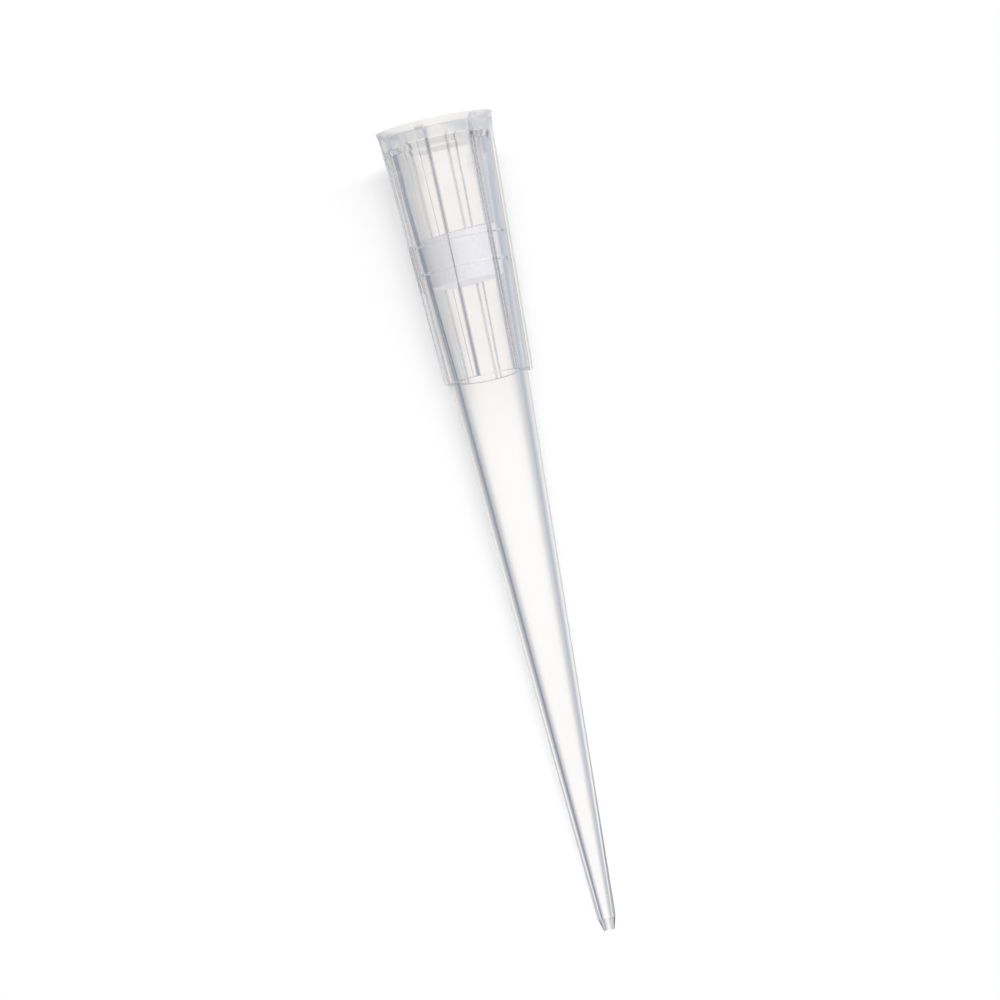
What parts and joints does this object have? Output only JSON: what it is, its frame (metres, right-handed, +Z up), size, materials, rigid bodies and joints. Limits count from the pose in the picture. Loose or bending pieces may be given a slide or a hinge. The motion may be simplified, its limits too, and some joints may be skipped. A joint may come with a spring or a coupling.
{
  "type": "pipette tip",
  "caption": "Clear filter pipette tip: a long hollow cone with a ribbed, flanged collar and a white porous plug in its bore.",
  "frame": {"origin": "centre of the rim's end face, which the tip stands on", "axes": "+Z up the tip's axis from the rim to the point; +X through the middle of one rib"},
  "size_m": [0.0076, 0.0076, 0.052],
  "materials": {
    "clear_polypropylene": "smooth, clear and faintly blue-grey moulded polypropylene",
    "porous_polyethylene": "matt white sintered porous plastic"
  },
  "bodies": {
    "root": {"tip_body": "clear_polypropylene", "filter_plug": "porous_polyethylene"}
  },
  "joints": []
}
